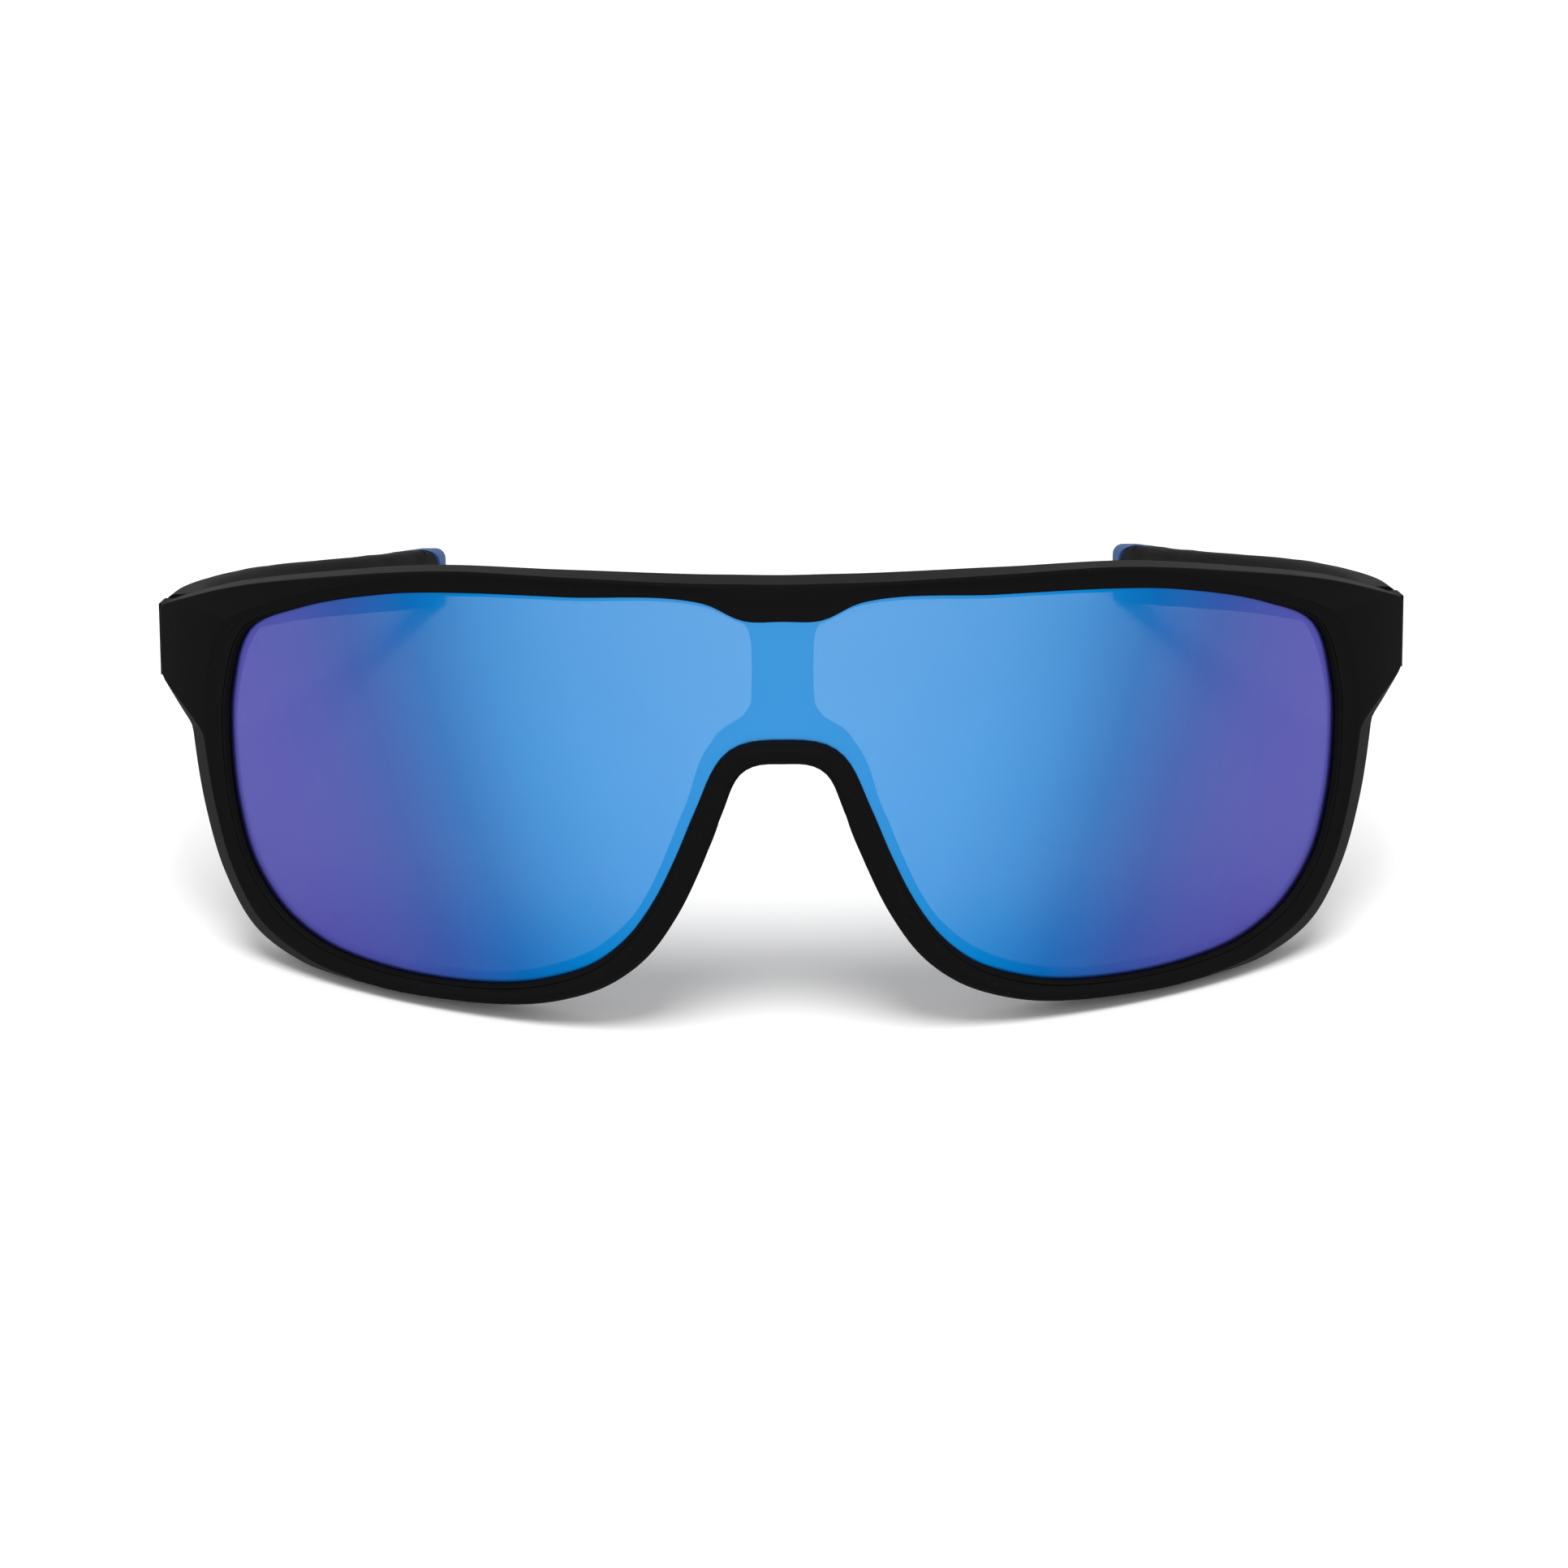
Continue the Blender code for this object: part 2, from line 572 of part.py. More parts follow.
def neck(side, low, high):
    """The arm of a front knuckle, from the barrel down to the foot."""
    sunk = BACK_FACE - LEAF_GAP - LEAF_THICKNESS * NECK_SINK
    foot_end = wrap(NECK_FOOT, sum(FOOT_UP) / 2, sunk)
    heading = Vector((HINGE.x - foot_end.x, HINGE.y - foot_end.y, 0)).normalized()
    across = Vector((heading.y, -heading.x, 0))
    barrel_end = HINGE - heading * BARREL_RADIUS * 0.75
    rings = []
    for centre, half in ((foot_end, NECK_FOOT_HALF), (barrel_end, NECK_HALF)):
        ring = []
        for offset, height in ((half, low), (half, high), (-half, high), (-half, low)):
            point = Vector((centre.x, centre.y, HINGE.z + height)) + across * offset
            ring.append(mirrored(point, side))
        rings.append(ring)
    return loft("neck", rings)


def front_leaf(name, side, parent):
    """The fixed leaf: a foot on the end piece with the two outer knuckles."""
    leaf = foot(side)
    leaf.name = name
    low, high = OUTER_KNUCKLES
    for bottom, top in ((low, high), (-high, -low)):
        boolean(leaf, neck(side, bottom, top), "UNION")
        boolean(leaf, knuckle(side, bottom, top), "UNION")
    bore_barrel(leaf, side)
    for place in FOOT_SCREWS:
        base = mirrored(wrap(*place, BACK_FACE - 3.0), side)
        drill(leaf, base, face_normal(*place, side), LEAF_HOLE_RADIUS, HOLE_REACH)
    return finish(leaf, "hinge_steel", parent)


def temple_leaf(name, side, parent, origin):
    """The moving leaf: a plate along the arm with the middle knuckle."""
    face = INNER_WALL - LEAF_GAP
    inner, outer = sorted((face * side, (face - LEAF_THICKNESS) * side))
    base = mirrored(HINGE, side) - Vector((0, 0, MIDDLE_KNUCKLE))
    steps = ((0.0, BARREL_RADIUS), (2 * MIDDLE_KNUCKLE, BARREL_RADIUS))
    leaf = turned(name, base, Vector((0, 0, 1)), steps, BARREL_SIDES, origin)
    for start, end, half in ((HINGE.y + 0.6, PLATE_BACK[0] + 1.0, MIDDLE_KNUCKLE),
                             (*PLATE_BACK, PLATE_HALF_HEIGHT)):
        slab = block("slab", (inner, start, HINGE.z - half), (outer, end, HINGE.z + half))
        boolean(leaf, slab, "UNION")
    bore_barrel(leaf, side)
    for back in PLATE_SCREWS:
        base = mirrored((INNER_WALL - 3.0, back, HINGE.z), side)
        drill(leaf, base, Vector((side, 0, 0)), LEAF_HOLE_RADIUS, HOLE_REACH)
    return finish(leaf, "hinge_steel", parent)


def slotted_screw(name, seat, axis, radius, length, head_radius, head_height, parent,
                  origin=Vector((0, 0, 0))):
    """A screw whose head sits on its seat; the axis points from the head into the material."""
    axis = axis.normalized()
    steps = ((-head_height, head_radius * 0.8), (-head_height * 0.6, head_radius), (0.0, head_radius),
             (0.0, radius), (length - radius * 0.5, radius), (length, radius * 0.5))
    screw = turned(name, seat, axis, steps, 16, origin)
    across = axis.orthogonal().normalized()
    other = axis.cross(across)
    top = seat - axis * (head_height + 1.0)
    floor = seat - axis * head_height * 0.5
    rings = []
    for centre in (top, floor):
        rings.append([centre + across * a * head_radius * 1.5 + other * b * SLOT_WIDTH / 2
                      for a, b in ((1, 1), (-1, 1), (-1, -1), (1, -1))])
    boolean(screw, loft("slot", rings), "DIFFERENCE")
    return finish(screw, "hinge_steel", parent)


def hinge_screws(word, side, front, arm_axis):
    """The screw on the hinge axis and the four that hold the leaves."""
    top = mirrored(HINGE, side) + Vector((0, 0, OUTER_KNUCKLES[1] + SEAT_GAP))
    slotted_screw("hinge_screw_" + word, top, Vector((0, 0, -1)), HINGE_SCREW_RADIUS,
                  2 * OUTER_KNUCKLES[1] + SEAT_GAP + HINGE_SCREW_END,
                  HINGE_SCREW_HEAD, HINGE_SCREW_HEAD_HEIGHT, front, top)
    for level, place in zip(("lower", "upper"), FOOT_SCREWS):
        seat = mirrored(wrap(*place, BACK_FACE - LEAF_GAP - LEAF_THICKNESS - SEAT_GAP), side)
        slotted_screw(f"front_leaf_screw_{level}_{word}", seat, face_normal(*place, side),
                      LEAF_SCREW_RADIUS, LEAF_GAP + LEAF_THICKNESS + LEAF_SCREW_BITE,
                      LEAF_SCREW_HEAD, LEAF_SCREW_HEAD_HEIGHT, front, seat)
    for level, back in zip(("front", "rear"), PLATE_SCREWS):
        seat = mirrored((INNER_WALL - LEAF_GAP - LEAF_THICKNESS - SEAT_GAP, back, HINGE.z), side)
        slotted_screw(f"temple_leaf_screw_{level}_{word}", seat, Vector((side, 0, 0)),
                      LEAF_SCREW_RADIUS, LEAF_GAP + LEAF_THICKNESS + LEAF_SCREW_BITE,
                      LEAF_SCREW_HEAD, LEAF_SCREW_HEAD_HEIGHT, arm_axis, seat)


def empty(name, location, parent=None):
    """An empty at a place in metres, relative to its parent."""
    made = bpy.data.objects.new(name, None)
    made.location = location
    made.parent = parent
    bpy.context.collection.objects.link(made)
    return made


def build():
    """Makes the whole pair: the fixed pieces hang on the stance, the moving ones on hinge axes."""
    for old in list(bpy.data.objects):
        bpy.data.objects.remove(old)
    stance = empty("stance", Vector(TABLE_SHIFT) * MM)
    stance.rotation_euler.x = -TABLE_TILT
    front_frame(stance)
    shield_lens(stance)
    for word, side in FOLD_SIDE.items():
        axis_place = mirrored(HINGE, side)
        arm_axis = empty(word + "_hinge_axis", axis_place * MM, stance)
        nose_pad("nose_pad_" + word, side, stance)
        front_leaf("front_hinge_leaf_" + word, side, stance)
        temple_arm("temple_arm_" + word, side, arm_axis, axis_place)
        ear_tip("ear_tip_" + word, side, arm_axis, axis_place)
        temple_leaf("temple_hinge_leaf_" + word, side, arm_axis, axis_place)
        hinge_screws(word, side, stance, arm_axis)
    bpy.context.view_layer.update()


build()
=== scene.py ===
"""The looks of the wraparound sport sunglasses: fine surfaces, materials and a small white studio.

Everything is drawn in the wearer's frame, in millimetres, as the CAD part is: X to the wearer's left,
Y back towards the head and Z up. stand() then stands it on the table, in metres.
"""
import json
from math import cos, pi, radians, sin

import bmesh
import bpy
import numpy as np
from mathutils import Matrix, Vector

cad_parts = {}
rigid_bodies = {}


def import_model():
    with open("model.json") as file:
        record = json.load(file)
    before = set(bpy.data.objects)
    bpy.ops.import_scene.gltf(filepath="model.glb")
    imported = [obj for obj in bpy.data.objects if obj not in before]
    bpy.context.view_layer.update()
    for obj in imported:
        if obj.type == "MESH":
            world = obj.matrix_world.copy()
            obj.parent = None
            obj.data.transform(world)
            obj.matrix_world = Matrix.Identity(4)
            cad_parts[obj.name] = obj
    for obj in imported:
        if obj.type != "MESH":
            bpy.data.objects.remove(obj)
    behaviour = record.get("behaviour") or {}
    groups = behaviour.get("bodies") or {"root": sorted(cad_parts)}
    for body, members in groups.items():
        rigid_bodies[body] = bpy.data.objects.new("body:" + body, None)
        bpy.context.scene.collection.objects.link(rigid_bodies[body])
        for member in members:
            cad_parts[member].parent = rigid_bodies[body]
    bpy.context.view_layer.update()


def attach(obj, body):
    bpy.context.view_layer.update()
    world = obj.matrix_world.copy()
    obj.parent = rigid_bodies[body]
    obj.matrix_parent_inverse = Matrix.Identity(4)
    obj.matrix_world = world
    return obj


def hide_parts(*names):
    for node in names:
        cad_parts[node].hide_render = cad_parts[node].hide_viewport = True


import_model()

MM = 0.001

# The stance on the table
TABLE_TILT = radians(10.54)
TABLE_SHIFT = Vector((0.0, -74.4, 43.12))
STANCE = Matrix.Translation(TABLE_SHIFT) @ Matrix.Rotation(-TABLE_TILT, 4, "X")

# The camera, in the wearer's frame
CAMERA_TARGET = Vector((0.1, 8.0, -15.53))
CAMERA_DISTANCE = 450.0
CAMERA_RISE = radians(10.0)
CAMERA_ROLL = radians(0.35)
CAMERA_YAW = radians(-0.15)
CAMERA_LENS = 95.6
SENSOR_WIDTH = 36.0
CLIP_START = 0.01

# The lens is a piece of a torus. Heights are over its outer surface.
WRAP_RADIUS = 90.0
CROWN_RADIUS = 110.0
LEAN = radians(6.0)
LENS_MIDDLE = Vector((0.0, 0.0, -17.0))
LENS_THICKNESS = 1.5
LENS_TUCK = 1.1
LENS_CELL = 2.0
SHEET_REACH = (72.0, 26.0)
LENS_CREASE = 50
FIT_GAP = 0.12
GROOVE_DEPTH = 1.4
FRONT_FACE = 1.4
BACK_FACE = -4.5
STATION_STEP = 0.8
FINE_STEP = 0.1
SMOOTHING_REACH = 6
RIM_CREASE = 40
CREASE = 35

# The rim's section, from the opening outwards. The wall round the lens is a rounded step, given as
# distances and shares of its height. The seam is given as distances, shares of its depth and heights
# over the wall. From there a slope rises to the face, and the bevel falls from the face to the outer
# edge, given as shares of its width and of its drop.
WALL_PROFILE = ((0.03, 0.4), (0.1, 0.75), (0.17, 0.93), (0.26, 1.0))
SEAM_LIP = 0.02
SEAM_OUTER = 0.52
SEAM_PROFILE = ((0.36, 0.0, 0.0), (0.39, 1.0, 0.0), (0.47, 1.0, 0.0), (SEAM_OUTER, 0.0, SEAM_LIP))
SLOPE_STEPS = 12
SLOPE_POWER = 1.6
BEVEL_PROFILE = (
    (0.0, 0.0), (0.06, 0.02), (0.14, 0.1), (0.5, 0.46), (0.86, 0.8), (0.95, 0.9), (1.0, 1.0))
OUTER_WALL_SHARES = (0.05, 0.35, 0.65, 0.95)
BACK_SHARES = (0.08, 0.36, 0.64, 0.92)
INNER_WALL_SHARES = (0.9, 0.5, 0.1)

# The bevel's first and last point on the section. A bevel wider than HIGHLIGHT_BEVEL gets a lighter
# copy of the plastic: a painted highlight standing in for the light the edge catches.
BEVEL_START = 1 + len(WALL_PROFILE) + len(SEAM_PROFILE) + SLOPE_STEPS
BEVEL_END = BEVEL_START + len(BEVEL_PROFILE) - 1
HIGHLIGHT_BEVEL = 0.9

# Outlines are half outlines, in mm along the brow and up the lens face. A point is passed smoothly,
# a JOIN also ends a stretch that both outlines share, and a CORNER is a JOIN with a crease.
SMOOTH, JOIN, CORNER = range(3)
RIM_OUTLINE = (
    (0.0, 24.2, JOIN), (5.0, 24.25, JOIN), (9.0, 24.25, JOIN), (24.0, 24.4, SMOOTH), (38.0, 24.1, JOIN),
    (53.0, 22.0, SMOOTH), (66.5, 19.2, JOIN), (80.4, 14.9, CORNER), (79.5, 7.0, CORNER),
    (73.3, 2.5, CORNER), (71.65, -7.2, SMOOTH), (69.7, -14.1, SMOOTH), (66.05, -19.9, JOIN),
    (59.3, -23.0, SMOOTH), (52.2, -23.9, SMOOTH), (44.0, -24.3, JOIN), (30.0, -23.8, SMOOTH),
    (24.85, -22.7, SMOOTH), (19.5, -20.5, SMOOTH), (14.95, -16.85, JOIN), (11.45, -11.8, SMOOTH),
    (8.75, -6.15, SMOOTH), (6.4, 0.0, JOIN), (4.55, 4.15, JOIN), (3.0, 5.1, SMOOTH), (0.0, 5.3, JOIN))
OPENING_OUTLINE = (
    (0.0, 20.3, JOIN), (4.2, 20.35, JOIN), (8.6, 22.15, JOIN), (24.0, 22.3, SMOOTH), (38.0, 21.8, JOIN),
    (46.0, 20.85, SMOOTH), (58.1, 17.8, JOIN), (65.35, 14.25, JOIN), (67.7, 7.1, JOIN),
    (67.9, 1.0, JOIN), (67.3, -6.1, SMOOTH), (65.65, -12.3, SMOOTH), (61.65, -17.45, JOIN),
    (56.05, -20.45, SMOOTH), (50.2, -21.7, SMOOTH), (40.5, -22.3, JOIN), (31.0, -21.65, SMOOTH),
    (26.3, -20.5, SMOOTH), (21.4, -18.45, SMOOTH), (17.3, -15.0, JOIN), (14.2, -10.6, SMOOTH),
    (11.7, -5.55, SMOOTH), (9.4, 0.0, JOIN), (6.6, 5.8, JOIN), (4.6, 7.2, SMOOTH), (0.0, 7.75, JOIN))

# What changes along the rim, one row for each join: how far the back lip reaches in over the lens,
# how far it flares out again to its back edge, the width and the drop of the bevel on the outer edge,
# the height of the wall round the lens, the depth of the seam on that wall, the width of the inner
# slope, and how far the back edge drops
RIM_JOINS = (
    (0.4, 0.0, 0.35, 0.25, 0.9, 0.0, 2.4, -0.4), (0.4, 0.0, 0.35, 0.25, 0.9, 0.0, 2.4, -0.4),
    (0.4, 0.0, 0.35, 0.25, 0.8, 0.0, 1.5, -0.4), (0.4, 0.0, 0.35, 0.25, 0.7, 0.0, 1.5, 0.0),
    (0.3, 0.0, 0.3, 0.3, 0.7, 0.0, 2.2, 0.3), (-0.1, 0.2, 0.6, 0.35, 0.7, 0.2, 2.6, 0.5),
    (-0.8, 0.4, 0.7, 0.35, 0.8, 0.3, 2.6, 0.0), (-0.8, 1.0, 2.4, 0.25, 0.8, 0.3, 2.2, 0.0),
    (-0.8, 1.3, 2.1, 0.3, 0.8, 0.3, 1.5, 0.0), (0.25, 0.75, 0.5, 0.5, 0.8, 0.25, 0.9, 0.0),
    (0.85, 0.3, 0.6, 0.5, 0.95, 0.05, 0.7, 0.0), (1.25, 0.2, 0.5, 0.4, 1.1, 0.0, 0.5, 0.0),
    (1.7, 0.2, 0.5, 0.4, 1.1, 0.0, 0.5, 0.0), (1.5, 0.2, 0.5, 0.4, 1.1, 0.0, 0.5, 0.0))

POST_HALF_WIDTHS = ((6.6, 8.0), (8.0, 6.9), (9.4, 4.7), (11.0, 3.6), (13.0, 3.4), (17.0, 3.4),
                    (19.2, 3.7), (20.4, 4.7), (21.2, 7.0))
POST_FRONT = -1.8
POST_RINGS = 50
POST_POINTS = 15

# The end pieces reach back to the butt, where the arms meet them
BUTT = 38.5
END_PIECE_LENGTH = 5.0
END_PIECE_INNER = 66.2
END_PIECE_OUTER = 70.6
END_PIECE_TOP = 1.2
END_PIECE_FOOT = -6.9

# Arms: distance back, distance out to the middle, top, height and thickness
ARM_STATIONS = (
    (38.8, 68.4, 1.6, 8.5, 4.4), (50.0, 68.6, 1.25, 8.2, 4.0), (60.0, 67.7, 0.85, 7.9, 3.4),
    (72.0, 66.2, 0.15, 7.6, 3.0), (86.0, 64.2, -0.95, 7.5, 3.0), (106.0, 60.3, -2.75, 7.5, 3.0),
    (128.0, 55.5, -4.7, 7.8, 3.4), (142.0, 52.5, -5.9, 8.1, 3.9), (150.0, 50.7, -6.5, 8.3, 4.2),
    (157.5, 49.2, -7.1, 8.3, 4.2))
ARM_RINGS = 70
CORNER_RADIUS = 1.2
CORNER_STEPS = 7
CORNER_SHARE = 0.8

# The ear tips are sleeves round the arms' tongues, open on the inner side. A nose is a list of
# distances back, from the tip's end for the tip, and how much the section draws in there.
TIP_START = 146.0
TIP_END = 157.5
TIP_NOSE = ((-3.6, 0.0), (-3.0, 0.05), (-2.3, 0.2), (-1.7, 0.42), (-1.2, 0.7), (-0.75, 1.05),
            (-0.4, 1.45), (-0.15, 1.9), (0.0, 2.6))
TIP_INSET_SHARE = 0.6
TONGUE_THICKNESS = 1.8
TONGUE_SETBACK = 0.1
TONGUE_NOSE = ((TIP_START, 0.1), (147.2, 0.15), (148.4, 0.3), (149.6, 0.6), (150.5, 0.95),
               (151.2, 1.4), (151.7, 1.9), (152.0, 2.4), (152.2, 3.0))
TONGUE_GAP = 0.1
JOINT_GAP = 0.15
POCKET_LEAD = 1.0
POCKET_REACH = 2.0
OPEN_MARGIN = 0.2
OPEN_GAP = 0.6

# Nose pads, along the nose flanks: along the brow, up the face, half width, thickness
PAD_STATIONS = (
    (7.5, 1.3, 0.7, 0.9), (7.9, 0.0, 1.2, 1.8), (9.0, -3.2, 1.5, 2.6), (10.3, -6.3, 1.6, 3.0),
    (12.0, -9.9, 1.6, 2.8), (13.8, -12.9, 1.3, 2.0), (14.6, -14.1, 0.7, 0.9))
PAD_FRONT = -4.8
PAD_SIDES = 40
PAD_RINGS = 60
PAD_RIB_SPACING = 1.4
PAD_RIB_DEPTH = 0.15

# The steel's softened edges, in metres
STEEL_BEVEL = 0.00008
STEEL_SEGMENTS = 2
STEEL_CREASE = 40

# Surfaces: noise scales are waves to the metre, and bump heights are in metres
DUST_SCALE = 4800.0
DUST_FROM = 0.77
DUST_TO = 0.8
GRAIN_SCALE = 9000.0
GRAIN_STRENGTH = 0.25
GRAIN_HEIGHT = 0.00004
TIP_CLOUD_SCALE = 500.0
TIP_GRAIN_SCALE = 7000.0
TIP_GRAIN_STRENGTH = 0.2
STEEL_GRAIN_SCALE = 900.0
STEEL_GRAIN_STRENGTH = 0.2
STEEL_GRAIN_HEIGHT = 0.00003
BACK_CLOUD_SCALE = 30.0
COAT_WAVE_SCALE = 60.0
COAT_WAVE_STRENGTH = 0.05
COAT_WAVE_HEIGHT = 0.0002
# Dust specks on the plastic, and below them paler specks for the bevel's painted highlight, lightened
# with it
SPECK = (0.03, 0.03, 0.028)
HIGHLIGHT_SPECK = (0.04, 0.04, 0.038)

# The lens's looks. The coat's colours change with the distance from the middle, which is taken at
# COAT_LEVEL and shrinks with height by COAT_LEAN. The turn from blue to violet towards the sides is a
# painted reflection: it is set by place, and stands in for the coat's colour changing with the angle
# it is seen at. COAT_REACH is where the colours end, in metres.
BACK_COVER = 0.45
LENS_ROUGHNESS = 0.28
COAT_LEAN = 0.295
COAT_LEVEL = 0.0377
COAT_REACH = 0.07
# The distance in mm, the colour on screen, and how much of the view the coat covers
COAT_COLOURS_AND_PAINTED_SHIFT = (
    (0.0, (101, 168, 230), 0.88), (10.0, (98, 165, 228), 0.88), (22.0, (88, 159, 224), 0.88),
    (30.0, (77, 148, 214), 0.89), (38.0, (67, 123, 192), 0.92), (46.0, (77, 103, 175), 0.94),
    (52.0, (89, 98, 174), 0.95), (60.0, (96, 94, 175), 0.95))

# The studio, in metres. WHITE is the brightness of its walls.
WHITE = 1.2
FLOOR_WHITE = 0.9
FLOOR_HALF = 3.0
FLOOR_ROUGHNESS = 0.9
CEILING = 0.35
WALLS_END = 0.45
CEILING_START = 0.75
KEY_STRENGTH = 2.4
KEY_RISE = radians(68)
KEY_SPREAD = radians(30)
KEY_PLACE = (0.0, -0.3, 0.5)

SIDES = {"left": 1, "right": -1}


# ---- curves and outlines ----

def catmull(before, start, end, after, t):
    """A point of the smooth curve from start to end, which heads as its neighbours say."""
    lean_out = (end - before) / 2
    lean_in = (after - start) / 2
    return ((2 * t**3 - 3 * t**2 + 1) * start + (t**3 - 2 * t**2 + t) * lean_out
            + (3 * t**2 - 2 * t**3) * end + (t**3 - t**2) * lean_in)


def track(rows, places):
    """Reads a table of stations at the given first values, smoothly in all its other columns."""
    rows = np.array(rows)
    result = []
    for place in places:
        i = int(np.clip(np.searchsorted(rows[:, 0], place) - 1, 0, len(rows) - 2))
        before = rows[max(i - 1, 0)]
        after = rows[min(i + 2, len(rows) - 1)]
        t = (place - rows[i, 0]) / (rows[i + 1, 0] - rows[i, 0])
        point = catmull(before, rows[i], rows[i + 1], after, t)
        point[0] = place
        result.append(point)
    return result


def dense_loop(half):
    """Mirrors a half outline and passes a fine curve through it. Returns it and the joins' places."""
    other_half = [(-u, v, kind) for u, v, kind in reversed(half[1:-1])]
    points = list(half) + other_half
    count = len(points)
    fine = []
    joins = []
    for i, (u, v, kind) in enumerate(points):
        start = np.array((u, v))
        end = np.array(points[(i + 1) % count][:2])
        before = np.array(points[i - 1][:2])
        after = np.array(points[(i + 2) % count][:2])
        if kind == CORNER:
            before = 2 * start - end
        if points[(i + 1) % count][2] == CORNER:
            after = 2 * end - start
        if kind != SMOOTH:
            joins.append(len(fine))
        span = np.linalg.norm(end - start)
        steps = max(2, int(span / FINE_STEP))
        before = start + (before - start) * span / np.linalg.norm(before - start)
        after = end + (after - end) * span / np.linalg.norm(after - end)
        fine += [catmull(before, start, end, after, k / steps) for k in range(steps)]
    return np.array(fine), joins


def softened(loop):
    """Rounds a fine loop's creases by averaging each point with its neighbours."""
    shifts = range(-SMOOTHING_REACH, SMOOTHING_REACH + 1)
    return sum(np.roll(loop, k, axis=0) for k in shifts) / len(shifts)


def resampled(loop, joins, counts):
    """Spaces points evenly along each stretch of a loop, as many as counts says."""
    points = []
    for k, count in enumerate(counts):
        end = joins[k + 1] if k + 1 < len(joins) else len(loop)
        stretch = np.take(loop, range(joins[k], end + 1), axis=0, mode="wrap")
        lengths = np.concatenate(([0.0], np.cumsum(np.linalg.norm(np.diff(stretch, axis=0), axis=1))))
        for target in np.linspace(0, lengths[-1], count, endpoint=False):
            points.append([np.interp(target, lengths, stretch[:, axis]) for axis in range(2)])
    return np.array(points)


def rim_stations():
    """Matching points of the outer outline and the opening, and the rim's changing widths."""
    outer, outer_joins = dense_loop(RIM_OUTLINE)
    opening, opening_joins = dense_loop(OPENING_OUTLINE)
    ends = outer_joins[1:] + [len(outer)]
    stretches = [(end - start) * FINE_STEP for start, end in zip(outer_joins, ends)]
    counts = [max(2, round(stretch / STATION_STEP)) for stretch in stretches]
    widths = list(RIM_JOINS) + list(RIM_JOINS[-2:0:-1])
    rows = []
    for k, count in enumerate(counts):
        start = np.array(widths[k])
        change = np.array(widths[(k + 1) % len(widths)]) - start
        for i in range(count):
            t = i / count
            rows.append(start + change * t * t * (3 - 2 * t))
    edge = resampled(softened(outer), outer_joins, counts)
    hole = resampled(softened(opening), opening_joins, counts)
    return edge, hole, rows


# ---- the front's own coordinates ----

def wrap(along, up, out):
    """A point given along the brow, up the lens face and out of it."""
    turn = along / WRAP_RADIUS
    rise = up / CROWN_RADIUS
    reach = WRAP_RADIUS - CROWN_RADIUS + (CROWN_RADIUS + out) * cos(rise)
    back = WRAP_RADIUS - reach * cos(turn)
    height = (CROWN_RADIUS + out) * sin(rise)
    return LENS_MIDDLE + Vector((reach * sin(turn),
                                 back * cos(LEAN) - height * sin(LEAN),
                                 back * sin(LEAN) + height * cos(LEAN)))


def straight_back(along, up, start, end):
    """Where a wall that starts at a height over the lens and runs straight back meets another."""
    point = wrap(along, up, start)
    turn = along / WRAP_RADIUS
    rise = up / CROWN_RADIUS - LEAN
    point.y += (start - end) / (cos(turn) * cos(rise))
    point.y = min(point.y, BUTT)
    return point


def stand(point):
    """A point of the wearer's frame, on the table, in metres."""
    return (STANCE @ Vector(point)) * MM


# ---- meshes ----

def piece(name, points, faces, smooth_angle=CREASE):
    """A mesh object from points in the wearer's frame."""
    bm = bmesh.new()
    verts = [bm.verts.new(stand(p)) for p in points]
    for face in faces:
        bm.faces.new([verts[i] for i in face])
    bmesh.ops.recalc_face_normals(bm, faces=bm.faces)
    return finished(name, bm, smooth_angle)


def finished(name, bm, smooth_angle=CREASE):
    """An object from a bmesh that is already on the table, shaded smooth but for its sharp edges."""
    mesh = bpy.data.meshes.new(name)
    bm.to_mesh(mesh)
    bm.free()
    mesh.shade_smooth()
    mesh.set_sharp_from_angle(angle=radians(smooth_angle))
    made = bpy.data.objects.new(name, mesh)
    bpy.context.collection.objects.link(made)
    return made


def skin(rings, closed):
    """The faces of a loft over equal rings, whose points are numbered ring after ring."""
    count = len(rings[0])
    faces = []
    for i in range(len(rings) if closed else len(rings) - 1):
        here = i * count
        there = (i + 1) % len(rings) * count
        for k in range(count):
            after = (k + 1) % count
            faces.append((here + k, here + after, there + after, there + k))
    if not closed:
        faces.append(tuple(range(count)))
        faces.append(tuple(range((len(rings) - 1) * count, len(rings) * count)))
    return faces


def loft(name, rings, closed=False, smooth_angle=CREASE):
    """A mesh object through equal rings. A closed one runs round to its start, others get end caps."""
    points = [point for ring in rings for point in ring]
    return piece(name, points, skin(rings, closed), smooth_angle)


def cut(target, tool):
    """Takes a tool away from a mesh, and removes the tool."""
    modifier = target.modifiers.new("cut", "BOOLEAN")
    modifier.operation = "DIFFERENCE"
    modifier.solver = "EXACT"
    modifier.object = tool
    bpy.context.view_layer.update()
    graph = bpy.context.evaluated_depsgraph_get()
    result = bpy.data.meshes.new_from_object(target.evaluated_get(graph))
    target.modifiers.clear()
    target.data = result
    result.shade_smooth()
    result.set_sharp_from_angle(angle=radians(CREASE))
    bpy.data.objects.remove(tool)


def joined(name, parts):
    """One object from several."""
    bm = bmesh.new()
    for part in parts:
        bm.from_mesh(part.data)
        bpy.data.objects.remove(part)
    return finished(name, bm)


def mirrored(point, side):
    """A point of the left side, on the side asked for."""
    return Vector((point[0] * side, point[1], point[2]))


# ---- materials ----

def shader(name, colour, roughness, metallic=0.0, specular=0.5):
    """A new material and its Principled node."""
    made = bpy.data.materials.new(name)
    made.use_nodes = True
    node = made.node_tree.nodes["Principled BSDF"]
    node.inputs["Base Color"].default_value = (*colour, 1.0)
    node.inputs["Roughness"].default_value = roughness
    node.inputs["Metallic"].default_value = metallic
    node.inputs["Specular IOR Level"].default_value = specular
    return made, node


